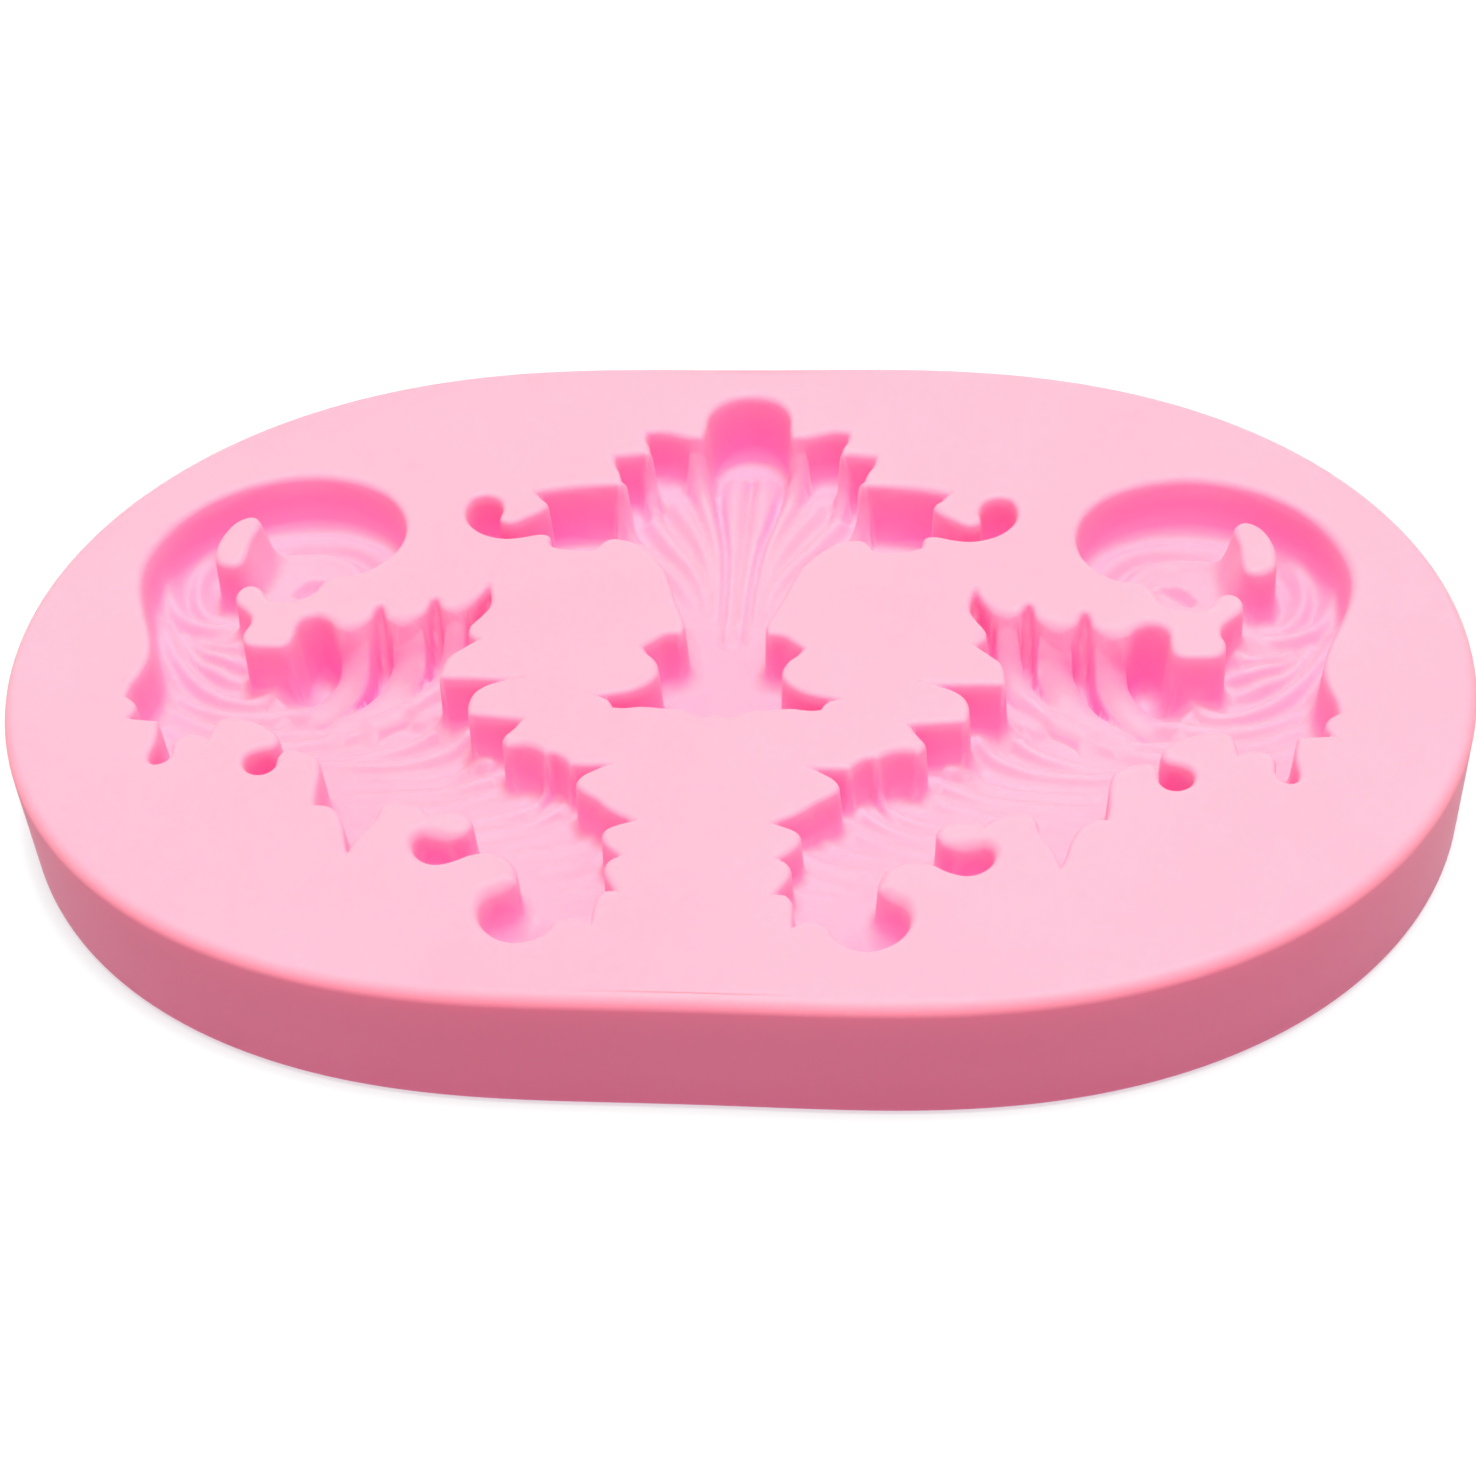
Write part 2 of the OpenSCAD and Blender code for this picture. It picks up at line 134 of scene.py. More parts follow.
# Half of the palmette, from its crown down the +X side to its foot
PALMETTE_EDGE = [
    (0, 35.1, SMOOTH), (1.9, 34.6, SMOOTH), (3.2, 33.4, SMOOTH), (3.9, 31.6, SMOOTH),
    (4, 29.8, SMOOTH), (4.2, 28.7, SHARP), (5.2, 28.7, SMOOTH), (6.5, 29.2, SMOOTH),
    (7.9, 29.6, SMOOTH), (9.3, 29.4, SHARP), (9.3, 28.1, SMOOTH), (8.9, 27.1, SMOOTH),
    (8.8, 26.1, SHARP), (10.2, 26.1, SMOOTH), (11.9, 25.8, SHARP), (11.7, 24.4, SMOOTH),
    (11.2, 23.2, SMOOTH), (10.8, 21.5, SHARP), (13.5, 21.4, SMOOTH), (16, 21.1, SMOOTH),
    (18.4, 20.4, SHARP), (17.8, 19.4, SMOOTH), (17.1, 18.5, SMOOTH), (17.6, 17.6, SMOOTH),
    (18.8, 16.6, SMOOTH), (20, 15.9, SMOOTH), (20.8, 16.3, SMOOTH), (20.7, 17.6, SMOOTH),
    (21.1, 19, SMOOTH), (22.3, 19.8, SMOOTH), (23.6, 19.5, SMOOTH), (24.2, 18.2, SMOOTH),
    (24.1, 16.5, SMOOTH), (23.2, 15, SMOOTH), (21.9, 14, SMOOTH), (20.2, 13.5, SMOOTH),
    (18.6, 13.7, SMOOTH), (17.2, 14.1, SMOOTH), (16.3, 13.9, SMOOTH), (16.1, 12.7, SMOOTH),
    (15, 12.1, SMOOTH), (13.3, 11.9, SMOOTH), (11.9, 12.1, SMOOTH), (11.4, 13, SMOOTH),
    (10.8, 13.5, SMOOTH), (9.6, 13.4, SMOOTH), (8.3, 12.7, SMOOTH), (7.1, 11.4, SMOOTH),
    (6, 9.7, SMOOTH), (5.2, 7.5, SMOOTH), (4.6, 5.4, SMOOTH), (3.9, 3.4, SMOOTH),
    (3.5, 2, SMOOTH), (3.7, 1.2, SHARP), (5, 1, SMOOTH), (5.9, 0.2, SMOOTH),
    (6.8, -0.6, SHARP), (6.3, -1.5, SMOOTH), (5.6, -2.3, SMOOTH), (5.2, -3.4, SMOOTH),
    (5.3, -4.3, SMOOTH), (6, -5.3, SMOOTH), (7.2, -6.1, SMOOTH), (8.6, -6.5, SMOOTH),
    (9.9, -6.8, SHARP), (8.9, -7.3, SMOOTH), (8.4, -8.2, SHARP), (7.5, -8.3, SMOOTH),
    (6, -8.1, SMOOTH), (4, -8.3, SMOOTH), (2.4, -8.5, SMOOTH), (1.6, -9.1, SMOOTH),
    (0.8, -9.3, SHARP), (0, -9, SMOOTH),
]

# Ribs that come down a scroll's walls, as rows of (x, y, depth of the crest, half width)
SCROLL_RIBS = [
    [(31.5, 3.6, 0.0, 1.1), (31.5, 2.8, 0.25, 1.15), (31.5, 2.1, 1.0, 1.2), (31.6, 1.5, 2.3, 1.25),
     (31.8, 0.8, 4.0, 1.35), (32.3, 0, 5.3, 1.4), (33.2, -0.9, 6.1, 1.5), (34.5, -1.9, 6.6, 1.5),
     (36.8, -3, 6.7, 1.3)],
    [(27.1, 4.2, 0.0, 1.1), (27.1, 3.4, 0.25, 1.2), (27.1, 2.8, 1.0, 1.3), (27.1, 2.2, 2.2, 1.4),
     (27.2, 1.5, 3.8, 1.5), (27.7, 0.6, 5.2, 1.6), (28.5, -0.5, 6.0, 1.6), (30, -2.1, 6.4, 1.5),
     (32.6, -4, 6.5, 1.3)],
    [(23.2, 5.2, 0.0, 0.8), (23.2, 4.4, 0.3, 0.8), (23.2, 3.8, 1.1, 0.85), (23.3, 3.1, 2.3, 0.95),
     (23.5, 2.3, 3.8, 1.1), (24, 1.3, 5.0, 1.2), (25, -0.1, 5.7, 1.3), (26.9, -1.8, 6.1, 1.3),
     (29.5, -3.7, 6.2, 1.2)],
    # slanted ends of the two slits and of the claw
    [(29.5, 4.6, 0.3, 0.8), (29.5, 4.1, 1.4, 0.9), (29.5, 3.6, 3.0, 0.9), (29.5, 3.1, 4.8, 0.9),
     (29.5, 2.7, 6.4, 0.9), (29.5, 2.4, 7.6, 0.9)],
    [(25, 5.6, 0.3, 0.8), (25, 5.1, 1.4, 0.9), (25, 4.6, 3.0, 0.9), (25, 4.1, 4.8, 0.9),
     (25, 3.7, 6.2, 0.9), (25, 3.4, 7.4, 0.9)],
    [(20.5, 7.6, 0.2, 0.8), (20.5, 7, 1.2, 0.9), (20.6, 6.4, 2.6, 1.0), (20.8, 5.8, 4.0, 1.0),
     (21, 5.2, 5.4, 1.0), (21.2, 4.8, 6.6, 1.0)],
    [(13.2, -13.3, 0.2, 0.3), (13.2, -13.8, 2.6, 0.35), (13.5, -14.2, 4.2, 0.45),
     (14.2, -14.8, 5.0, 0.6)],
]
# Soft rolls on a scroll's floor, as rows of (x, y, height, half width)
SCROLL_ROLLS = [
    # the hook under the tongue, then the rolls that go on from the ribs
    [(36.5, 2.2, 2.24, 0.7), (36.8, 0.9, 1.68, 0.9), (37.4, -0.9, 1.26, 1.2), (39.2, -2.2, 1.12, 1.3),
     (41.8, -2.2, 1.12, 1.2), (44.6, -0.6, 0.98, 1.1), (47, 1.9, 0.98, 1.1), (49, 5, 0.84, 1.1),
     (50.3, 8, 0.42, 1.0)],
    [(32.6, -0.4, 1.26, 1.5), (34.4, -1.8, 1.12, 1.4), (37, -3.1, 0.84, 1.3), (40, -3.7, 0.7, 1.2),
     (43.2, -3.3, 0.7, 1.1), (46, -1.9, 0.56, 1.0), (48, 0.2, 0.42, 1.0), (49.3, 3, 0.28, 0.9)],
    [(27.9, 0.2, 1.26, 1.5), (29.6, -1.7, 1.12, 1.4), (32.4, -3.8, 0.84, 1.3), (36, -5.2, 0.7, 1.2),
     (40, -5.6, 0.56, 1.1), (43.6, -5, 0.49, 1.0), (46.6, -3.4, 0.42, 1.0), (48.2, -1.6, 0.28, 0.9)],
    [(24.1, 0.9, 1.26, 1.3), (26, -1.2, 1.12, 1.3), (28.6, -3.2, 0.84, 1.2), (31.8, -4.9, 0.7, 1.2),
     (36, -6.6, 0.56, 1.1), (40, -7.2, 0.49, 1.0), (44, -6.8, 0.42, 1.0), (47, -5.6, 0.28, 0.9)],
    # rolls that leave the stepped leaf tips
    [(22.4, -3.8, 1.22, 1.0), (23.6, -4.9, 0.94, 1.1), (25.4, -6.1, 0.81, 1.1), (28, -7.2, 0.68, 1.1),
     (31.4, -8, 0.61, 1.1), (35.5, -8.4, 0.41, 1.0), (39, -8.6, 0.27, 0.9)],
    [(21, -6.2, 1.08, 1.0), (22.2, -7.2, 0.81, 1.1), (24.2, -8.1, 0.74, 1.1),
     (27.4, -8.9, 0.68, 1.1), (31.6, -9.3, 0.54, 1.0), (35, -9.8, 0.27, 0.9)],
    [(18.6, -10.2, 0.76, 0.8), (20.3, -10, 0.57, 0.9), (22.6, -10.7, 0.48, 1),
     (25.8, -11.3, 0.43, 1), (30, -11.6, 0.29, 0.9)],
    [(17.4, -11.2, 0.57, 0.8), (19.6, -11.9, 0.48, 0.9), (22.6, -12.6, 0.43, 1),
     (26.4, -13.1, 0.33, 1), (29.5, -13.2, 0.19, 0.9)],
    [(16.4, -12.3, 0.48, 0.8), (18.2, -13.3, 0.43, 0.9), (20.6, -14.1, 0.38, 1),
     (23.4, -14.7, 0.33, 1), (26, -15, 0.19, 0.9)],
    [(14.2, -14.8, 0.57, 0.8), (16.4, -15.6, 0.48, 0.9), (19.4, -16.3, 0.38, 1),
     (22, -16.7, 0.19, 0.9)],
    [(12, -15.2, 0.57, 0.8), (14.2, -16.6, 0.43, 0.9), (17.4, -17.8, 0.38, 1),
     (20, -18.2, 0.19, 0.9)],
    [(10.6, -16.4, 0.48, 0.8), (12.8, -18, 0.38, 0.9), (15.8, -19.3, 0.33, 0.9),
     (18, -19.8, 0.19, 0.8)],
    [(8.8, -18.8, 0.48, 0.8), (11.4, -19.8, 0.38, 0.9), (14.4, -20.8, 0.29, 0.9)],
    [(6.6, -20.6, 0.48, 0.7), (9.4, -21.4, 0.33, 0.9), (12.6, -22.2, 0.29, 0.9)],
    [(7, -23.1, 0.38, 0.7), (9.4, -23.6, 0.29, 0.9), (12, -24, 0.19, 0.8)],
    [(5.9, -24.9, 0.48, 0.6), (7.8, -25.2, 0.33, 0.8), (10, -25.3, 0.19, 0.8)],
    [(5.9, -28.6, 0.48, 0.6), (7.6, -28.4, 0.33, 0.8), (9.8, -27.6, 0.19, 0.8)],
    # fine veins between the tongue and the outer wall
    [(41, 0.5, 0.45, 0.7), (43.2, 0.9, 0.6, 0.8), (45.4, 2.2, 0.6, 0.8), (47.2, 4.2, 0.6, 0.8),
     (48.6, 6.8, 0.3, 0.8)],
    [(41.3, 2, 0.45, 0.7), (43.4, 2.3, 0.6, 0.7), (45.4, 3.5, 0.6, 0.7), (47, 5.4, 0.45, 0.7)],
    [(42, 3.5, 0.45, 0.6), (43.8, 3.7, 0.52, 0.7), (45.5, 4.7, 0.52, 0.7), (46.8, 6, 0.3, 0.7)],
    # rings of the curl
    [(51, 13, 0.34, 1.1), (50.3, 11.4, 0.86, 1.21), (49.3, 9.3, 1.03, 1.32), (47.6, 7.9, 1.03, 1.21),
     (45.4, 7.3, 0.86, 1.1), (43.8, 7.9, 0.34, 0.99)],
    [(47.6, 17, 0.34, 1.1), (48.3, 14.8, 0.95, 1.21), (48.3, 12.4, 1.03, 1.21),
     (47.6, 10.3, 0.95, 1.21), (46.4, 8.9, 0.78, 1.1), (44.8, 8.2, 0.52, 1.1)],
    [(44, 19.2, 0.4, 1.3), (41, 19.9, 0.7, 1.5), (37.4, 20, 0.9, 1.6), (34.6, 19.1, 0.9, 1.6),
     (32.4, 17.6, 0.9, 1.5), (31, 15.6, 0.7, 1.4), (30.4, 13.6, 0.4, 1.3)],
    [(41.5, 15.8, 0.3, 1.0), (39.4, 16.6, 0.45, 1.1), (37, 16.6, 0.5, 1.2), (34.9, 15.6, 0.5, 1.2),
     (33.6, 13.8, 0.45, 1.1), (33.4, 12, 0.3, 1.0)],
]
SCROLL_GROOVES = [
    # inside the outer ring of the curl, the eye, and the gap beside the pillar
    [(42.6, 17.4, 0.2, 0.8), (40.5, 18.2, 0.4, 0.9), (37.1, 18.3, 0.5, 1.0), (34.8, 17.4, 0.5, 1.0),
     (33, 15.8, 0.5, 0.9), (32, 13.8, 0.3, 0.8)],
    [(36.4, 12.8, 0.73, 0.91), (37.6, 12.3, 1.27, 1.17), (38.5, 11.2, 1.09, 1.04)],
    [(46.4, 15.2, 0.36, 0.65), (46.6, 12.5, 0.73, 0.78), (45.7, 10, 0.55, 0.78)],
    # hollow and crease beside the first two stepped leaf tips
    [(24.6, -3.4, 0.5, 0.9), (25.5, -4.1, 0.6, 0.9), (26.9, -3.7, 0.3, 0.8)],
    [(20.2, -7.9, 0.3, 0.4), (20.9, -8.7, 0.4, 0.45), (22.3, -9.6, 0.35, 0.45),
     (24.6, -10.3, 0.3, 0.4), (28.2, -10.4, 0.2, 0.4)],
]

# Floor of a scroll at a few places: (x, y, depth, rounding at the wall's foot)
SCROLL_FLOOR = [
    (50, 11, 6.4, 2.4), (48.5, 17, 6.5, 2.4), (43, 21, 6.5, 2.2),
    (36, 21, 6.5, 2.2), (31.5, 17, 6.4, 2.0), (31, 12.5, 6.0, 1.8),
    (37.6, 12.4, 4.4, 1.4), (40, 13, 4.7, 1.4), (36, 16, 5.3, 1.4),
    (33.5, 13.5, 5.5, 1.4), (46, 7, 6.2, 1.4), (43, 4.8, 4.6, 1.8),
    (48, 2, 6.5, 1.6),
    (43.5, -2, 6.4, 1.2), (38.5, -2.5, 6.5, 1.2), (38.5, 3, 6.8, 1.4),
    (34.6, 1.5, 8.2, 1.6), (33.5, -1.5, 7.8, 1.2), (31.7, 1.8, 8.0, 1.0),
    (29.4, 2.6, 7.2, 1.6), (27, 2.6, 7.6, 1.0), (25.1, 3.2, 6.6, 1.6),
    (22.9, 3.6, 6.6, 1.0), (31, -5, 7.4, 1.2), (36, -7, 6.9, 1.2),
    (42, -7, 6.4, 1.2), (46.5, -6, 6.0, 1.2), (26.5, -6.5, 7.0, 1.2),
    (21.4, 5, 5.4, 1.6), (22.2, -1.2, 6.4, 1.4), (22.6, -3.8, 6.0, 1.2),
    (18.4, -4.9, 4.8, 1.2), (18.6, -7.6, 6.2, 1.2), (22.5, -8.5, 6.7, 1.2),
    (17.4, -9.5, 5.0, 1.2), (17, -11.6, 5.8, 1.2), (28, -10.8, 6.5, 1.2),
    (33, -11.5, 6.0, 1.2), (38, -9, 6.2, 1.2), (43, -10.5, 5.4, 1.2),
    (47.3, -9, 5.2, 1.0), (44.4, -14.3, 4.6, 0.8), (35.9, -15.2, 5.4, 0.9),
    (33.3, -14, 5.4, 1.0), (27, -15, 5.6, 1.2), (22, -15, 5.9, 1.2),
    (15.4, -12.6, 5.8, 1.0), (13.5, -13.8, 4.8, 1.0), (16, -15, 5.8, 1.0),
    (9, -16.2, 5.2, 1.0), (12, -17, 5.4, 1.2), (17.5, -18.5, 5.2, 1.2),
    (27.5, -19.5, 4.4, 1.2), (26.9, -23.5, 2.8, 1.0), (23, -20.3, 4.0, 1.2),
    (12, -21.5, 4.8, 1.2), (16, -22.3, 4.4, 1.2), (6.6, -22.6, 4.2, 0.8),
    (6.2, -26.2, 4.0, 0.8), (10.5, -26, 4.2, 1.2), (7.5, -30.2, 3.8, 1.0),
    (10.6, -29.6, 4.2, 1.4), (13.6, -31, 6.2, 3.2), (20.7, -24.3, 5.6, 2.6),
    (15.8, -24, 4.6, 1.2),
]

# Places where the rim is softer: (x, y, added radius, reach)
SCROLL_RIMS = [
    (31.8, 2, 1.0, 1.0), (27.3, 2.8, 1.0, 1.0), (22.8, 4.3, 0.8, 0.8), (40, 22.4, 0.35, 6.0),
    (51, 12, 0.35, 6.0), (34.6, 3.2, 0.3, 1.0), (20.4, -22.7, 0.9, 1.4), (15, -28.5, 0.9, 1.5),
    (36, -13.5, 0.25, 1.0), (15.5, -12.6, 0.3, 1.5),
]

# Relief of the palmette's +X half, written the same way
PALMETTE_RIBS = [
    [(4.7, 28.9, 0.2, 0.85), (4.6, 28.2, 2.2, 0.85), (4.4, 27.3, 4.0, 0.9), (4.0, 26.2, 5.2, 0.9),
     (3.6, 24.6, 6.0, 0.9)],
    [(9.0, 26.3, 0.2, 0.6), (8.8, 25.7, 2.8, 0.65), (8.6, 25, 4.6, 0.7), (8.2, 24, 5.8, 0.8)],
    [(10.9, 21.7, 0.2, 0.7), (10.6, 21.1, 2.8, 0.75), (10.2, 20.5, 4.6, 0.8),
     (9.5, 19.8, 5.8, 0.9)],
]
PALMETTE_ROLLS = [
    [(1.4, 30.6, 0.57, 1.6), (1.3, 27, 0.63, 1.5), (1.15, 23.4, 0.57, 1.3), (0.8, 17, 0.46, 1),
     (0.6, 12, 0.34, 0.8), (0.55, 7.4, 0.29, 0.7)],
    [(3.9, 26, 1.15, 1.3), (3.5, 24.4, 1.03, 1.3), (2.6, 20.7, 0.75, 1.05), (2.05, 16.8, 0.57, 0.85),
     (1.8, 13, 0.34, 0.75), (1.8, 9.5, 0.17, 0.75)],
    [(7.2, 27.2, 0.46, 1.5), (5.8, 24.5, 0.75, 1.4), (4.2, 21.4, 0.69, 1.2), (2.9, 17.5, 0.57, 0.95),
     (2.2, 13.7, 0.34, 0.8)],
    [(8.4, 23.4, 0.92, 1.3), (6.6, 20.2, 0.86, 1.3), (4.7, 17.3, 0.63, 1.1), (3.3, 14.2, 0.46, 0.9),
     (2.6, 11.5, 0.23, 0.8)],
    [(9.2, 19.6, 0.92, 1.3), (7, 17, 0.75, 1.2), (5.2, 14.6, 0.46, 1), (3.9, 12.2, 0.23, 0.9)],
]
PALMETTE_GROOVES = [
    [(3.1, 30.4, 0.45, 0.6), (2.95, 28.8, 0.83, 0.65), (2.4, 25, 0.9, 0.65),
     (1.75, 21.3, 0.75, 0.55), (1.35, 17.8, 0.6, 0.5), (1.15, 13.8, 0.52, 0.45),
     (1.1, 10, 0.45, 0.45), (1.1, 7, 0.38, 0.45), (0.8, 5.9, 0.38, 0.4), (0, 5.6, 0.38, 0.4)],
    [(0, 31.2, 0.9, 0.7), (0, 29.4, 0.52, 0.55), (0, 25, 0.3, 0.5), (0, 18, 0.18, 0.4),
     (0, 9, 0.12, 0.4)],
]
PALMETTE_FLOOR = [
    (0, 33.4, 7.8, 0.9), (3, 33, 7.6, 0.9), (0, 30, 6.9, 1.2),
    (0, 25, 6.7, 1.2), (0, 18, 6.4, 1.2), (0, 12, 6.2, 1.6),
    (0, 6, 5.8, 2.2), (0, 0, 5.7, 2.0), (0, -6, 6.0, 2.0),
    (6.8, 28, 6.2, 1.9), (10.2, 25, 6.8, 1.6), (5, 22, 6.4, 1.2),
    (9, 20, 6.6, 1.2), (14, 17, 6.7, 1.0), (15.5, 19.5, 6.8, 1.0),
    (20, 14.8, 5.8, 1.0), (22.6, 17.6, 5.6, 1.0), (8, 14.6, 6.4, 1.2),
    (13.5, 13, 6.4, 1.0), (5, 14, 6.2, 1.2), (4, 0, 6.2, 1.8),
    (6.4, -6.4, 6.0, 1.4), (4, -6, 6.4, 1.8),
]
PALMETTE_RIMS = [(0, 35, 0.3, 3.0), (6.5, 29.2, 0.25, 2.0), (10.5, 26, 0.25, 1.0), (16, 21, 0.3, 2.5)]

# The slab: an oval filled out a little between its axes, so that it reaches past its short half
# axis by the overhang, with a rounded top edge and a small round at the bottom
SLAB_FULLNESS = 0.2
FULLNESS_OVERHANG = 0.06
TOP_EDGE_RADIUS = 1.1
TOP_EDGE_STEPS = 8
BOTTOM_EDGE_RADIUS = 0.5
BOTTOM_EDGE_STEPS = 4
SIDE_RING_SHARES = (0.33, 0.66)
UNDERSIDE_INSET = 1

# How the silicone meets the top and the floor. The rim is a quarter circle that is at
# 45 degrees on the outline; the pillar's side towards the eye of the curl leans more
RIM_RADIUS = 0.55
RIM_BACK = 0.7
WALL_DEGREES = 2.5
LEAN_DEGREES = 20
# Reach of each place in a floor's list of depths
FLOOR_SPREAD = 1.7
# A rib is lower by the drop at its half width than at its crest, and its sides then fall steeply
RIB_DROP = 0.7
RIB_SIDE = 15.0

# Spacing of the mesh's points along an outline, over a hollow's floor and over the flat top, whose
# grid covers a rectangle round the slab and is then cut to the slab's oval
OUTLINE_STEP = 0.36
CAVITY_PITCH = 0.3
TOP_PITCH = 1.7
TOP_HALF_LENGTH = 60
TOP_HALF_WIDTH = 40
TOP_GRID_INSET = 0.8
SLAB_EDGE_PIECES = 288
# Rings of points beside an outline, by distance into the hollow. A point is kept where its distance
# to the nearest rim is the ring's own, to this tolerance plus this share of the distance
RING_OFFSETS = (-1.35, -0.95, -0.62, -0.42, -0.27, -0.14, -0.03, 0.07, 0.14, 0.2, 0.26, 0.34, 0.45,
                0.58, 0.76, 1.0, 1.32)
RING_TOLERANCE = 0.03
RING_TOLERANCE_SHARE = 0.04
SIDE_PROBE = 0.05
GRID_GAP = 0.12
# Lines of points beside a rib, by distance past its half width, once they are clear of the rim
RIB_RINGS = (-0.5, -0.25, -0.08, 0.04, 0.14, 0.24, 0.34, 0.46)
RIB_MARGIN = 0.1
RIB_CLEAR = 0.4
RIB_LINE_PIECES = 6
CURVE_PIECES = 5
# Points that share a square of this size are one point
MERGE_CELL = 0.055
MERGE_DISTANCE = 0.00001
# Points compared with a path in one batch, which limits the memory used
BATCH = 4000

# The mesh attribute of painted shade, which deepens the pink on steep walls and in deep places
# where the hollows' shade and the light bounced between pink walls fall. A place counts as steep
# below an upward share of its normal, given at two depths, and it counts for more in a deeper place
UPRIGHT_DEPTHS = (0.7, 2)
UPRIGHT_FROM = (1, 0.78)
SHADE_DEPTHS = (0, 7)
SHADE_SHARES = (0.65, 1)

# The silicone: colours of its flat parts, the painted shade of deeper pink on its steep walls, and
# the noise that varies them
SILICONE_DARK = (0.96, 0.315, 0.585, 1)
SILICONE_LIGHT = (0.98, 0.335, 0.615, 1)
PAINTED_SHADE_DARK = (1.0, 0.2, 0.72, 1)
PAINTED_SHADE_LIGHT = (1.0, 0.33, 0.82, 1)
PAINTED_SHADE_RANGE = (0.6, 1)
MOTTLE_RANGE = (0.3, 0.7)
MOTTLE_SCALE = 45
SKIN_SCALE = 900
SKIN_BUMP = 0.00003
ROUGHNESS_RANGE = (0.5, 0.62)

# The studio, in metres. The key and the sky share one ratio of blue to green, so that the edge of
# a shadow doesn't turn orange
FLOOR_HALF = 3.0
FLOOR_DROP = 0.0001
FLOOR_COLOUR = (0.3, 0.36, 0.5, 1)
FLOOR_GLOW = 0.6
SKY_COLOUR = (0.6, 0.5, 0.34, 1)
GROUND_COLOUR = (0.62, 0.19, 0.34, 1)
HORIZON_BLEND = 0.2
BACKDROP_COLOUR = (0.9, 0.9, 0.9, 1)
KEY_PLACE = (0.05, 0.0, 1.0)
KEY_AIM = (0, 0, 0)
KEY_SIZE = 0.35
KEY_ENERGY = 12.35
KEY_COLOUR = (1, 1, 0.68)

# The camera at the photograph's angle. The shifts move the picture by shares of its width
CAMERA_AIM = (-0.00437, -0.01231, 0.0115)
CAMERA_DISTANCE = 0.2020
CAMERA_AZIMUTH = math.radians(8.86)
CAMERA_ELEVATION = math.radians(42.4)
CAMERA_ROLL = math.radians(-5.11)
SENSOR_WIDTH = 36
LENS_LENGTH = 62.4293
SHIFT_X = 0.055244
SHIFT_Y = 0.0022358
CLIP_START = 0.01
CLIP_END = 20


def heading(points, i, j):
    """Unit direction of a closed outline at point i, on its side towards neighbour j."""
    n = len(points)
    if points[i][2] == SHARP:
        step = 1 if j == (i + 1) % n else -1
        a = np.array(points[j][:2]) - np.array(points[i][:2])
        a = a * step
    else:
        a = np.array(points[(i + 1) % n][:2]) - np.array(points[i - 1][:2])
    return a / max(np.linalg.norm(a), 0.001)


def hermite(a, b, u, v, t):
    """Points at shares t of the cubic from a along u to b along v."""
    size = np.linalg.norm(b - a)
    t = t[:, None]
    return ((2 * t**3 - 3 * t**2 + 1) * a + (t**3 - 2 * t**2 + t) * size * u
            + (3 * t**2 - 2 * t**3) * b + (t**3 - t**2) * size * v)


def flowing(points, step):
    """Closed outline through every point, with a corner at the sharp ones."""
    parts = []
    for i in range(len(points)):
        j = (i + 1) % len(points)
        a = np.array(points[i][:2], float)
        b = np.array(points[j][:2], float)
        pieces = max(2, int(round(np.linalg.norm(b - a) / step)))
        t = np.arange(pieces) / pieces
        parts.append(hermite(a, b, heading(points, i, j), heading(points, j, i), t))
    return np.vstack(parts)


def distance_to_path(points, path, closed):
    """Distance from each point to a polyline, and the nearest place as side number plus share."""
    a = path if closed else path[:-1]
    b = np.roll(path, -1, axis=0) if closed else path[1:]
    ab = b - a
    length2 = np.maximum((ab**2).sum(1), 1e-9)
    best = np.full(len(points), 1e9)
    place = np.zeros(len(points))
    for start in range(0, len(points), BATCH):
        p = points[start:start + BATCH]
        ap = p[:, None, :] - a[None]
        t = np.clip((ap * ab[None]).sum(2) / length2, 0, 1)
        d2 = ((ap - t[:, :, None] * ab[None])**2).sum(2)
        k = d2.argmin(1)
        rows = np.arange(len(p))
        best[start:start + BATCH] = np.sqrt(d2[rows, k])
        place[start:start + BATCH] = k + t[rows, k]
    return best, place


def inside(points, loop):
    """True where a point is inside a closed outline."""
    x, y = points[:, 0], points[:, 1]
    hit = np.zeros(len(points), bool)
    for a, b in zip(loop, np.roll(loop, -1, axis=0)):
        crosses = (a[1] > y) != (b[1] > y)
        if crosses.any():
            at = a[0] + (y - a[1]) * (b[0] - a[0]) / (b[1] - a[1] + 1e-12)
            hit ^= crosses & (x < at)
    return hit


def along(points, rows):
    """Distance from each point to a curve, and the curve's two other values at that place."""
    line = spline(np.array(rows, float), CURVE_PIECES)
    near, place = distance_to_path(points, line[:, :2], False)
    low = np.minimum(place.astype(int), len(line) - 2)
    share = place - low
    first = line[low, 2] * (1 - share) + line[low + 1, 2] * share
    second = line[low, 3] * (1 - share) + line[low + 1, 3] * share
    return near, first, second


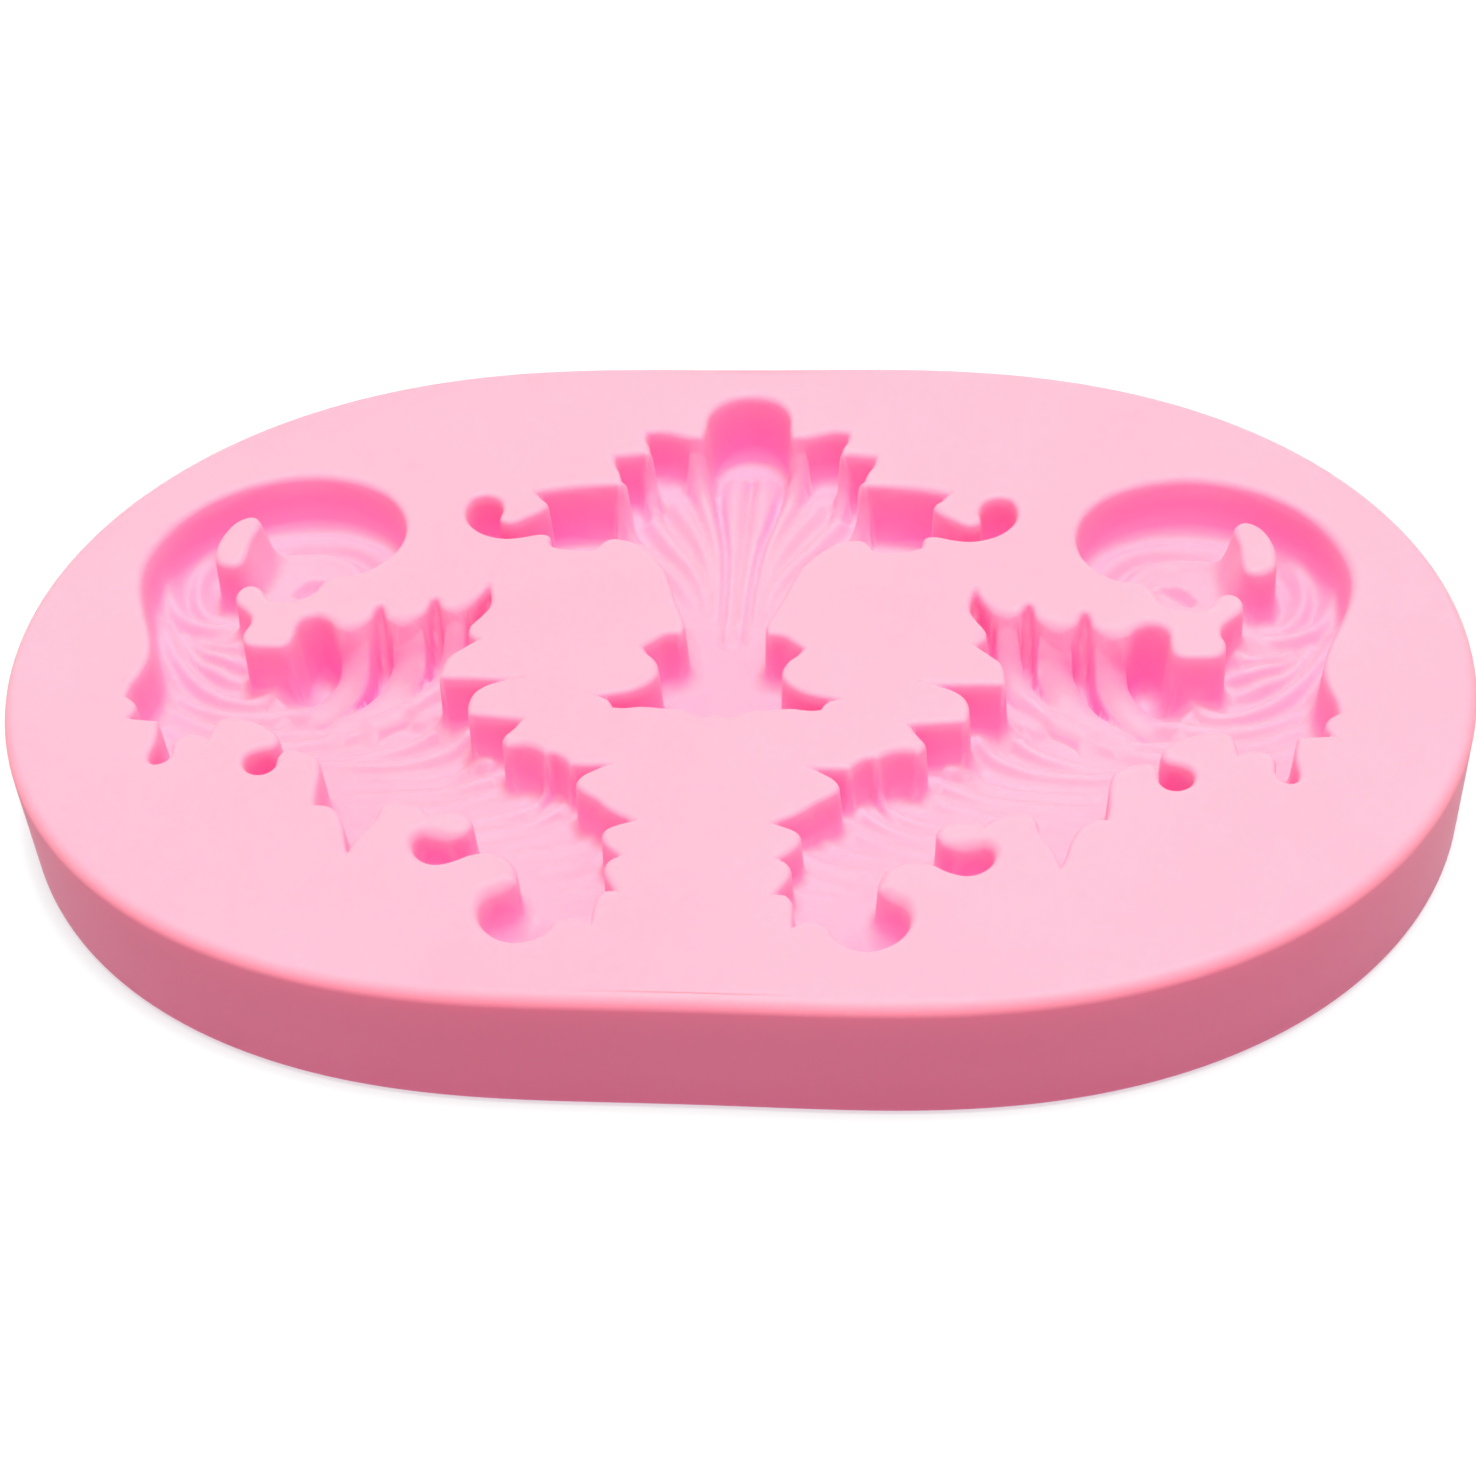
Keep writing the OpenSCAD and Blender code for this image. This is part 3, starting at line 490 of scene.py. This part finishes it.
class Cavity:
    """One open hollow: its outline loops, its floor depths and the relief on its floor."""

    def __init__(self, loops, floor, rims, ribs, rolls, grooves):
        self.loops = loops
        self.floor = np.array(floor, float)
        self.rims = rims
        self.ribs = ribs
        self.rolls = rolls
        self.grooves = grooves

    def distance(self, points):
        """Signed distance to the rim: positive inside the hollow."""
        best = np.full(len(points), 1e9)
        within = np.zeros(len(points), bool)
        for loop in self.loops:
            best = np.minimum(best, distance_to_path(points, loop, True)[0])
            within ^= inside(points, loop)
        return np.where(within, best, -best)

    def relief(self, points, curves):
        """Largest height that any of the curves gives at each point."""
        height = np.zeros(len(points))
        for rows in curves:
            near, tall, wide = along(points, rows)
            reach = np.clip(near / wide, 0, 1)
            height = np.maximum(height, tall * (0.5 + 0.5 * np.cos(math.pi * reach)))
        return height

    def rib_depth(self, points):
        """Depth of the highest rib at each point."""
        depth = np.full(len(points), 1e9)
        for rows in self.ribs:
            near, crest, wide = along(points, rows)
            side = RIB_DROP * np.clip(near / wide, 0, 1)**2
            side += RIB_SIDE * np.maximum(near - wide, 0)
            depth = np.minimum(depth, crest + side)
        return depth

    def beside_rib(self, points):
        """True at points in the narrow strips where a rib's sides drop."""
        hit = np.zeros(len(points), bool)
        for rows in self.ribs:
            near, _, wide = along(points, rows)
            past_side = near - wide
            hit |= ((past_side > RIB_RINGS[0] - RIB_MARGIN)
                    & (past_side < RIB_RINGS[-1] + RIB_MARGIN))
        return hit

    def wall_slope(self, points):
        """Run of the wall for each mm of depth, larger on the pillar's leaning side."""
        lean = np.zeros(len(points))
        if len(self.loops) > 1:
            pillar = self.loops[1]
            offset = points - pillar.mean(0)
            length = np.maximum(np.linalg.norm(offset, axis=1), 0.01)
            nearer = distance_to_path(points, pillar, True)[0]
            other = distance_to_path(points, self.loops[0], True)[0]
            lean = np.clip(-offset[:, 0] / length, 0, 1) * (nearer < other)
        return np.tan(np.radians(WALL_DEGREES + (LEAN_DEGREES - WALL_DEGREES) * lean))

    def depth(self, points, d):
        """Depth below the top at points whose signed distance to the rim is d."""
        gap2 = ((points[:, None, :] - self.floor[None, :, :2])**2).sum(2)
        weight = np.exp(-gap2 / (2 * FLOOR_SPREAD**2)) + 1e-9 / (gap2 + 1)
        weight /= weight.sum(1)[:, None]
        base, rounding = (weight @ self.floor[:, 2:]).T
        radius = np.full(len(points), RIM_RADIUS)
        for x, y, more, reach in self.rims:
            gap2 = ((points - [x, y])**2).sum(1)
            radius = np.maximum(radius, RIM_RADIUS + more * np.exp(-gap2 / (2 * reach**2)))
        slope = self.wall_slope(points)
        bottom = base - self.relief(points, self.rolls) + self.relief(points, self.grooves)
        u = d + RIM_BACK * radius
        rim = radius - np.sqrt(np.maximum(radius**2 - np.clip(u, 0, radius)**2, 0))
        wall = rim + np.maximum(u - radius, 0) / slope
        foot = radius + (base - radius - rounding) * slope
        climb = np.clip(rounding - (u - foot), 0, rounding)
        lift = rounding - np.sqrt(np.maximum(rounding**2 - climb**2, 0))
        ground = np.minimum(bottom - lift, self.rib_depth(points))
        return np.where(u <= 0, 0, np.minimum(wall, np.maximum(ground, 0)))


def spline(path, pieces):
    """Open curve through every row, with this many pieces from one row to the next."""
    ends = np.vstack([2 * path[0] - path[1], path, 2 * path[-1] - path[-2]])
    rows = []
    t = (np.arange(pieces) / pieces)[:, None]
    for p, q, r, s in zip(ends, ends[1:], ends[2:], ends[3:]):
        rows.append(q + 0.5 * t * (r - p) + t**2 * (p - 2.5 * q + 2 * r - 0.5 * s)
                    + t**3 * 0.5 * (3 * q - p - 3 * r + s))
    return np.vstack(rows + [path[-1:]])


def mirrored(rows):
    """The same rows on the other side of the YZ plane."""
    return rows * np.array([-1.0] + [1.0] * (rows.shape[1] - 1))


def slab_radius(angle):
    """Radius of the slab's oval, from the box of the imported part."""
    low, high = cad_bounds
    long_half = (high[0] - low[0]) / 2 / MM
    short_half = (high[1] - low[1]) / 2 / MM - FULLNESS_OVERHANG
    return (long_half + short_half) / 2 + SLAB_FULLNESS * (1 - np.cos(4 * angle)) \
        + (long_half - short_half) / 2 * np.cos(2 * angle)


def slab_ring(inset):
    """Points round the slab, moved in from its edge by inset."""
    angle = np.arange(SLAB_EDGE_PIECES) * 2 * math.pi / SLAB_EDGE_PIECES
    ring = slab_radius(angle)[:, None] * np.stack([np.cos(angle), np.sin(angle)], 1)
    tangent = np.roll(ring, -1, axis=0) - np.roll(ring, 1, axis=0)
    tangent /= np.linalg.norm(tangent, axis=1)[:, None]
    return ring + inset * np.stack([-tangent[:, 1], tangent[:, 0]], 1)


def hex_grid(x0, x1, y0, y1, pitch):
    """Points of a triangular grid over a rectangle."""
    rows = []
    row_gap = pitch * math.sqrt(3) / 2
    for k in range(int((y1 - y0) / row_gap) + 1):
        x = np.arange(x0 + (k % 2) * pitch / 2, x1, pitch)
        rows.append(np.stack([x, np.full(len(x), y0 + k * row_gap)], 1))
    return np.vstack(rows)


def cavity_points(cavity, aligned):
    """Rows of (x, y, distance inside the rim) for one hollow's mesh points: rings along its rim
    and walls, lines along the sides of its ribs if aligned is set, then a grid over its floor."""
    kept = []
    kept_ribs = []
    for loop in cavity.loops:
        tangent = np.roll(loop, -1, axis=0) - np.roll(loop, 1, axis=0)
        tangent /= np.maximum(np.linalg.norm(tangent, axis=1), 1e-6)[:, None]
        normal = np.stack([-tangent[:, 1], tangent[:, 0]], 1)
        probe = cavity.distance(loop + SIDE_PROBE * normal)
        normal = normal * (1 if np.median(probe) > 0 else -1)
        for offset in RING_OFFSETS:
            ring = loop + offset * normal
            d = cavity.distance(ring)
            good = np.abs(d - offset) < RING_TOLERANCE + RING_TOLERANCE_SHARE * abs(offset)
            kept.append(np.column_stack([ring[good], d[good]]))
    for side in (-1, 1) if aligned else ():
        for rib in cavity.ribs:
            line = spline(np.array(rib, float), RIB_LINE_PIECES)
            tangent = np.gradient(line[:, :2], axis=0)
            tangent /= np.linalg.norm(tangent, axis=1)[:, None]
            normal = side * np.stack([-tangent[:, 1], tangent[:, 0]], 1)
            for more in RIB_RINGS:
                edge = line[:, :2] + (line[:, 3] + more)[:, None] * normal
                kept_ribs.append(np.column_stack([edge, cavity.distance(edge)]))
    low = np.min([loop.min(0) for loop in cavity.loops], axis=0)
    high = np.max([loop.max(0) for loop in cavity.loops], axis=0)
    grid = hex_grid(low[0], high[0], low[1], high[1], CAVITY_PITCH)
    d = cavity.distance(grid)
    deep = d > RING_OFFSETS[-1] + GRID_GAP
    kept.append(np.column_stack([grid[deep], d[deep]]))
    rows = np.vstack(kept)
    if aligned:
        beside = cavity.beside_rib(rows[:, :2]) & (rows[:, 2] > RIB_CLEAR)
        ribs = np.vstack(kept_ribs)
        rows = np.vstack([rows[~beside], ribs[ribs[:, 2] > RIB_CLEAR]])
    cell = np.round(rows[:, :2] / MERGE_CELL).astype(int)
    first = np.unique(cell, axis=0, return_index=True)[1]
    return rows[np.sort(first)]


def hollows():
    """The scroll's hollow on the +X side, and the palmette's in the middle."""
    scroll = VOLUTE_EDGE + TONGUE_EDGE + LOBE_EDGE + STEP_EDGE + BARB_EDGE + BUD_EDGE + OUTER_EDGE
    palmette = PALMETTE_EDGE + [(-x, y, kind) for x, y, kind in PALMETTE_EDGE[-2:0:-1]]
    right = Cavity([flowing(scroll, OUTLINE_STEP), flowing(PILLAR_EDGE, OUTLINE_STEP)],
                   SCROLL_FLOOR, SCROLL_RIMS, SCROLL_RIBS, SCROLL_ROLLS, SCROLL_GROOVES)
    middle = Cavity([flowing(palmette, OUTLINE_STEP)],
                    PALMETTE_FLOOR, PALMETTE_RIMS, PALMETTE_RIBS, PALMETTE_ROLLS,
                    PALMETTE_GROOVES)
    return right, middle


def top_points(edge):
    """Rows of (x, y, depth) for the top: the slab's edge, the three hollows, the flat between."""
    right, middle = hollows()
    rows = cavity_points(right, True)
    right_top = np.column_stack([rows[:, :2], right.depth(rows[:, :2], rows[:, 2])])
    rows = cavity_points(middle, False)
    folded = np.abs(rows[:, :2] * [1, 0]) + rows[:, :2] * [0, 1]
    middle_top = np.column_stack([rows[:, :2], middle.depth(folded, rows[:, 2])])

    flat = hex_grid(-TOP_HALF_LENGTH, TOP_HALF_LENGTH, -TOP_HALF_WIDTH, TOP_HALF_WIDTH, TOP_PITCH)
    clear = np.maximum(right.distance(flat), right.distance(mirrored(flat)))
    clear = np.maximum(clear, middle.distance(flat))
    inner = slab_ring(TOP_EDGE_RADIUS + TOP_GRID_INSET)
    flat = flat[(clear < -TOP_PITCH) & inside(flat, inner)]

    return np.vstack([
        np.column_stack([edge, np.zeros(len(edge))]),
        right_top, mirrored(right_top), middle_top,
        np.column_stack([flat, np.zeros(len(flat))]),
    ])


def side_profile(thickness):
    """Rows of (inset, height) down the slab's side, from its top edge to its underside."""
    profile = []
    for step in range(1, TOP_EDGE_STEPS + 1):
        turn = step / TOP_EDGE_STEPS * math.pi / 2
        profile.append((TOP_EDGE_RADIUS * (1 - math.sin(turn)),
                        thickness - TOP_EDGE_RADIUS * (1 - math.cos(turn))))
    wall_top = thickness - TOP_EDGE_RADIUS
    for share in SIDE_RING_SHARES:
        profile.append((0, wall_top + (BOTTOM_EDGE_RADIUS - wall_top) * share))
    for step in range(BOTTOM_EDGE_STEPS + 1):
        turn = step / BOTTOM_EDGE_STEPS * math.pi / 2
        profile.append((BOTTOM_EDGE_RADIUS * (1 - math.cos(turn)),
                        BOTTOM_EDGE_RADIUS * (1 - math.sin(turn))))
    profile.append((BOTTOM_EDGE_RADIUS + UNDERSIDE_INSET, 0))
    return profile


def mould_mesh():
    """The whole slab with its three hollows, as one closed skin."""
    thickness = (cad_bounds[1][2] - cad_bounds[0][2]) / MM
    edge = slab_ring(TOP_EDGE_RADIUS)
    count = len(edge)
    top = top_points(edge)
    found = delaunay_2d_cdt([Vector(p) for p in top[:, :2].tolist()], [], [], 0, MERGE_DISTANCE)
    places, faces, came_from = found[0], found[2], found[3]
    verts = []
    for place, source in zip(places, came_from):
        verts.append((place[0], place[1], thickness - top[source[0], 2]))
    ring_at = {}
    for index, source in enumerate(came_from):
        for old in source:
            if old < count:
                ring_at[old] = index
    ring = [ring_at[i] for i in range(count)]
    polygons = [tuple(face) for face in faces]

    for inset, height in side_profile(thickness):
        start = len(verts)
        verts += [(x, y, height) for x, y in slab_ring(inset)]
        fresh = list(range(start, start + count))
        for i in range(count):
            j = (i + 1) % count
            polygons.append((ring[j], ring[i], fresh[i], fresh[j]))
        ring = fresh
    polygons.append(tuple(reversed(ring)))
    mesh = bpy.data.meshes.new("moulded_slab")
    mesh.from_pydata([(x * MM, y * MM, z * MM) for x, y, z in verts], [], polygons)
    mesh.shade_smooth()
    # painted shade: a deeper pink is stored on the steep and deep places of the top
    mark_painted_shade(mesh, len(places))
    return mesh


def mark_painted_shade(mesh, count):
    """Store painted shade by how steep and deep the top's first count vertices are: the pink deepens
    there.
    """
    normal = np.zeros(len(mesh.vertices) * 3)
    place = np.zeros(len(mesh.vertices) * 3)
    mesh.vertices.foreach_get("normal", normal)
    mesh.vertices.foreach_get("co", place)
    depth = (cad_bounds[1][2] - place[2::3]) / MM
    start = np.interp(depth, UPRIGHT_DEPTHS, UPRIGHT_FROM)
    share = np.clip((start - normal[2::3]) / start, 0, 1)
    share *= np.interp(depth, SHADE_DEPTHS, SHADE_SHARES)
    share[count:] = 0
    mesh.attributes.new("painted_shade_mask", "FLOAT", "POINT").data.foreach_set("value", share)


def silicone_material():
    """Soft pink silicone: satin, slightly translucent, faintly mottled, with painted shade
    deepening its pink on steep and deep walls.
    """
    material = bpy.data.materials.new("pink_silicone")
    material.use_nodes = True
    nodes = material.node_tree.nodes
    links = material.node_tree.links
    nodes.clear()
    out = nodes.new("ShaderNodeOutputMaterial")
    shader = nodes.new("ShaderNodeBsdfPrincipled")
    links.new(shader.outputs["BSDF"], out.inputs["Surface"])
    place = nodes.new("ShaderNodeTexCoord")
    mottle = nodes.new("ShaderNodeTexNoise")
    mottle.inputs["Scale"].default_value = MOTTLE_SCALE
    mottle.inputs["Detail"].default_value = 3
    links.new(place.outputs["Object"], mottle.inputs["Vector"])
    # Painted shade: the stored mask blends a deeper pink into steep and deep walls, in place of the
    # hollows' shade and bounced light
    painted_shade_mask = nodes.new("ShaderNodeAttribute")
    painted_shade_mask.attribute_name = "painted_shade_mask"
    deep = nodes.new("ShaderNodeValToRGB")
    deep.color_ramp.elements[0].position = PAINTED_SHADE_RANGE[0]
    deep.color_ramp.elements[0].color = PAINTED_SHADE_LIGHT
    deep.color_ramp.elements[1].position = PAINTED_SHADE_RANGE[1]
    deep.color_ramp.elements[1].color = PAINTED_SHADE_DARK
    links.new(painted_shade_mask.outputs["Fac"], deep.inputs["Fac"])
    blend = nodes.new("ShaderNodeMix")
    blend.data_type = "RGBA"
    tint = nodes.new("ShaderNodeValToRGB")
    tint.color_ramp.elements[0].position = MOTTLE_RANGE[0]
    tint.color_ramp.elements[0].color = SILICONE_DARK
    tint.color_ramp.elements[1].position = MOTTLE_RANGE[1]
    tint.color_ramp.elements[1].color = SILICONE_LIGHT
    links.new(mottle.outputs["Fac"], tint.inputs["Fac"])
    links.new(painted_shade_mask.outputs["Fac"], blend.inputs["Factor"])
    links.new(tint.outputs["Color"], blend.inputs["A"])
    links.new(deep.outputs["Color"], blend.inputs["B"])
    links.new(blend.outputs["Result"], shader.inputs["Base Color"])
    skin = nodes.new("ShaderNodeTexNoise")
    skin.inputs["Scale"].default_value = SKIN_SCALE
    skin.inputs["Detail"].default_value = 2
    links.new(place.outputs["Object"], skin.inputs["Vector"])
    rough = nodes.new("ShaderNodeMapRange")
    rough.inputs["To Min"].default_value = ROUGHNESS_RANGE[0]
    rough.inputs["To Max"].default_value = ROUGHNESS_RANGE[1]
    links.new(skin.outputs["Fac"], rough.inputs["Value"])
    links.new(rough.outputs["Result"], shader.inputs["Roughness"])
    bump = nodes.new("ShaderNodeBump")
    bump.inputs["Strength"].default_value = 0.15
    bump.inputs["Distance"].default_value = SKIN_BUMP
    links.new(skin.outputs["Fac"], bump.inputs["Height"])
    links.new(bump.outputs["Normal"], shader.inputs["Normal"])
    shader.inputs["IOR"].default_value = 1.41
    shader.inputs["Specular IOR Level"].default_value = 0.35
    shader.inputs["Subsurface Weight"].default_value = 0.5
    shader.inputs["Subsurface Radius"].default_value = (1.0, 0.5, 0.6)
    shader.inputs["Subsurface Scale"].default_value = 0.0015
    shader.inputs["Sheen Weight"].default_value = 0.1
    shader.inputs["Sheen Roughness"].default_value = 0.5
    return material


def studio_floor():
    """Pale floor under the slab, wide enough for every view."""
    mesh = bpy.data.meshes.new("studio_floor")
    corners = [(-1, -1), (1, -1), (1, 1), (-1, 1)]
    mesh.from_pydata([(x * FLOOR_HALF, y * FLOOR_HALF, -FLOOR_DROP) for x, y in corners],
                     [], [(0, 1, 2, 3)])
    floor = bpy.data.objects.new("studio_floor", mesh)
    bpy.context.scene.collection.objects.link(floor)
    material = bpy.data.materials.new("studio_paper")
    material.use_nodes = True
    shader = material.node_tree.nodes["Principled BSDF"]
    shader.inputs["Base Color"].default_value = FLOOR_COLOUR
    shader.inputs["Emission Color"].default_value = (1, 1, 1, 1)
    shader.inputs["Emission Strength"].default_value = FLOOR_GLOW
    shader.inputs["Roughness"].default_value = 0.9
    mesh.materials.append(material)
    # kept out of diffuse light, so that its glow doesn't light the slab
    floor.visible_diffuse = False
    return floor


def studio_world():
    """Soft light from a tinted sky and ground, behind a plain pale backdrop for the camera."""
    world = bpy.data.worlds.new("studio")
    world.use_nodes = True
    nodes = world.node_tree.nodes
    links = world.node_tree.links
    direction = nodes.new("ShaderNodeTexCoord")
    split = nodes.new("ShaderNodeSeparateXYZ")
    horizon = nodes.new("ShaderNodeMapRange")
    horizon.inputs["From Min"].default_value = -HORIZON_BLEND
    horizon.inputs["From Max"].default_value = HORIZON_BLEND
    sky = nodes.new("ShaderNodeValToRGB")
    sky.color_ramp.elements[0].color = GROUND_COLOUR
    sky.color_ramp.elements[1].color = SKY_COLOUR
    links.new(direction.outputs["Generated"], split.inputs["Vector"])
    links.new(split.outputs["Z"], horizon.inputs["Value"])
    links.new(horizon.outputs["Result"], sky.inputs["Fac"])
    links.new(sky.outputs["Color"], nodes["Background"].inputs["Color"])
    backdrop = nodes.new("ShaderNodeBackground")
    backdrop.inputs["Color"].default_value = BACKDROP_COLOUR
    seen = nodes.new("ShaderNodeLightPath")
    either = nodes.new("ShaderNodeMixShader")
    links.new(seen.outputs["Is Camera Ray"], either.inputs[0])
    links.new(nodes["Background"].outputs["Background"], either.inputs[1])
    links.new(backdrop.outputs["Background"], either.inputs[2])
    links.new(either.outputs["Shader"], nodes["World Output"].inputs["Surface"])
    return world


def key_light():
    """Broad lamp straight above the slab."""
    data = bpy.data.lights.new("key", "AREA")
    data.shape = "DISK"
    data.size = KEY_SIZE
    data.energy = KEY_ENERGY
    data.color = KEY_COLOUR
    lamp = bpy.data.objects.new("key", data)
    lamp.location = KEY_PLACE
    lamp.rotation_euler = (Vector(KEY_AIM) - Vector(KEY_PLACE)).to_track_quat("-Z", "Y").to_euler()
    bpy.context.scene.collection.objects.link(lamp)


def photo_camera():
    """Camera that sees the slab as the photograph does."""
    back = Vector((math.sin(CAMERA_AZIMUTH) * math.cos(CAMERA_ELEVATION),
                   -math.cos(CAMERA_AZIMUTH) * math.cos(CAMERA_ELEVATION),
                   math.sin(CAMERA_ELEVATION)))
    data = bpy.data.cameras.new("camera")
    data.sensor_width = SENSOR_WIDTH
    data.lens = LENS_LENGTH
    data.shift_x = SHIFT_X
    data.shift_y = SHIFT_Y
    data.clip_start = CLIP_START
    data.clip_end = CLIP_END
    camera = bpy.data.objects.new("camera", data)
    camera.location = Vector(CAMERA_AIM) + back * CAMERA_DISTANCE
    camera.rotation_euler = back.to_track_quat("Z", "Y").to_euler()
    camera.rotation_euler.rotate_axis("Z", CAMERA_ROLL)
    bpy.context.scene.collection.objects.link(camera)
    return camera


mould = bpy.data.objects.new("silicone_mould", mould_mesh())
bpy.context.scene.collection.objects.link(mould)
mould.data.materials.append(silicone_material())
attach(mould, "root")
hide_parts("mould_body")

floor = studio_floor()

bpy.context.scene.world = studio_world()
key_light()
bpy.context.scene.camera = photo_camera()
bpy.context.scene.view_settings.view_transform = "Standard"
